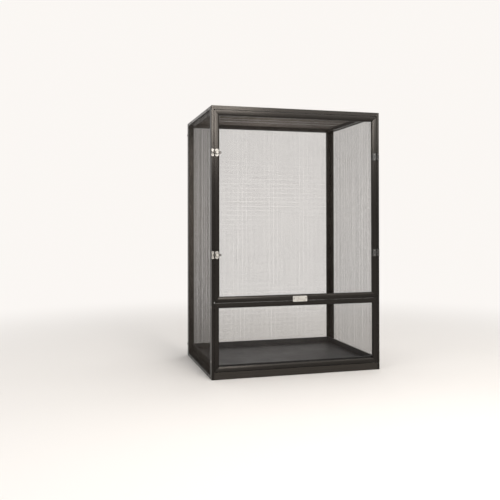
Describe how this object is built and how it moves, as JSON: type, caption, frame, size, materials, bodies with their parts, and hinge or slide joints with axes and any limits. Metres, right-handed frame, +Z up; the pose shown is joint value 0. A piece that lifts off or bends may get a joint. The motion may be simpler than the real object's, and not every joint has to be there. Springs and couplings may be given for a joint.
{
  "type": "mesh reptile cage",
  "caption": "Tall aluminium screen cage for reptiles: mesh on every side, a side-hung door with turn latches and a lock, a lift-up lower flap and a pull-out substrate tray.",
  "frame": {"origin": "middle of the footprint, on the floor", "axes": "+Z up, +X to the right seen from the front, +Y from the front to the back"},
  "size_m": [0.6036, 0.4583, 0.9],
  "materials": {
    "frame_metal": "dark bronze-black anodised aluminium, satin",
    "screen_mesh": "fine woven aluminium wire, dark coated",
    "spline_cord": "matt black cord",
    "key_plastic": "moulded nylon",
    "hinge_metal": "black coated steel",
    "silver_metal": "nickel plated steel",
    "screw_steel": "dark plated steel",
    "tray_plastic": "black formed plastic"
  },
  "bodies": {
    "cage": {"front_left_post": "frame_metal", "front_right_post": "frame_metal", "back_left_post": "frame_metal", "back_right_post": "frame_metal", "left_wall_bars": "frame_metal", "left_wall_keys": "key_plastic", "left_wall_screen": "screen_mesh", "left_wall_spline": "spline_cord", "right_wall_bars": "frame_metal", "right_wall_keys": "key_plastic", "right_wall_screen": "screen_mesh", "right_wall_spline": "spline_cord", "back_wall_bars": "frame_metal", "back_wall_keys": "key_plastic", "back_wall_screen": "screen_mesh", "back_wall_spline": "spline_cord", "roof_bars": "frame_metal", "roof_keys": "key_plastic", "roof_screen": "screen_mesh", "roof_spline": "spline_cord", "base_bars": "frame_metal", "base_keys": "key_plastic", "floor_screen": "screen_mesh", "floor_spline": "spline_cord", "upper_hinge_post_leaf": "hinge_metal", "upper_hinge_pin": "screw_steel", "upper_latch_keeper": "silver_metal", "lower_hinge_post_leaf": "hinge_metal", "lower_hinge_pin": "screw_steel", "lower_latch_keeper": "silver_metal", "hinge_post_screws": "screw_steel", "latch_keeper_screws": "screw_steel", "flap_pivot_pins": "silver_metal", "flap_ball_catches": "silver_metal", "panel_screws": "screw_steel"},
    "door": {"door_bars": "frame_metal", "door_keys": "key_plastic", "door_screen": "screen_mesh", "door_spline": "spline_cord", "upper_hinge_door_leaf": "hinge_metal", "upper_latch_plate": "silver_metal", "upper_latch_stud": "silver_metal", "lower_hinge_door_leaf": "hinge_metal", "lower_latch_plate": "silver_metal", "lower_latch_stud": "silver_metal", "hinge_door_screws": "screw_steel", "latch_plate_screws": "screw_steel", "lock_plate": "silver_metal", "lock_screws": "screw_steel"},
    "upper_latch": {"upper_latch_lever": "silver_metal"},
    "lower_latch": {"lower_latch_lever": "silver_metal"},
    "lock": {"lock_thumb_turn": "silver_metal", "lock_cam": "silver_metal", "lock_nut": "screw_steel"},
    "flap": {"flap_bars": "frame_metal", "flap_keys": "key_plastic", "flap_screen": "screen_mesh", "flap_spline": "spline_cord"},
    "tray": {"substrate_tray": "tray_plastic"}
  },
  "joints": [
    {"name": "door_swing", "type": "hinge", "parent": "cage", "child": "door", "pos_m": [0.2915, -0.2282, 0.577], "axis": [0, 0, 1], "range_deg": [0, 170]},
    {"name": "upper_latch_turn", "type": "hinge", "parent": "door", "child": "upper_latch", "pos_m": [-0.282, -0.2283, 0.745], "axis": [0, -1, 0], "range_deg": [0, 90]},
    {"name": "lower_latch_turn", "type": "hinge", "parent": "door", "child": "lower_latch", "pos_m": [-0.282, -0.2283, 0.409], "axis": [0, -1, 0], "range_deg": [0, 90]},
    {"name": "lock_turn", "type": "hinge", "parent": "door", "child": "lock", "pos_m": [0.005, -0.22, 0.2595], "axis": [0, 1, 0], "range_deg": [0, 90]},
    {"name": "flap_lift", "type": "hinge", "parent": "cage", "child": "flap", "pos_m": [0, -0.219, 0.238], "axis": [-1, 0, 0], "range_deg": [0, 90]},
    {"name": "tray_slide", "type": "slide", "parent": "cage", "child": "tray", "axis": [0, -1, 0], "range_m": [0, 0.3]}
  ],
  "couplings": [
    {"joint": "tray_slide", "follows": "flap_lift", "m_per_rad": 0.19}
  ]
}
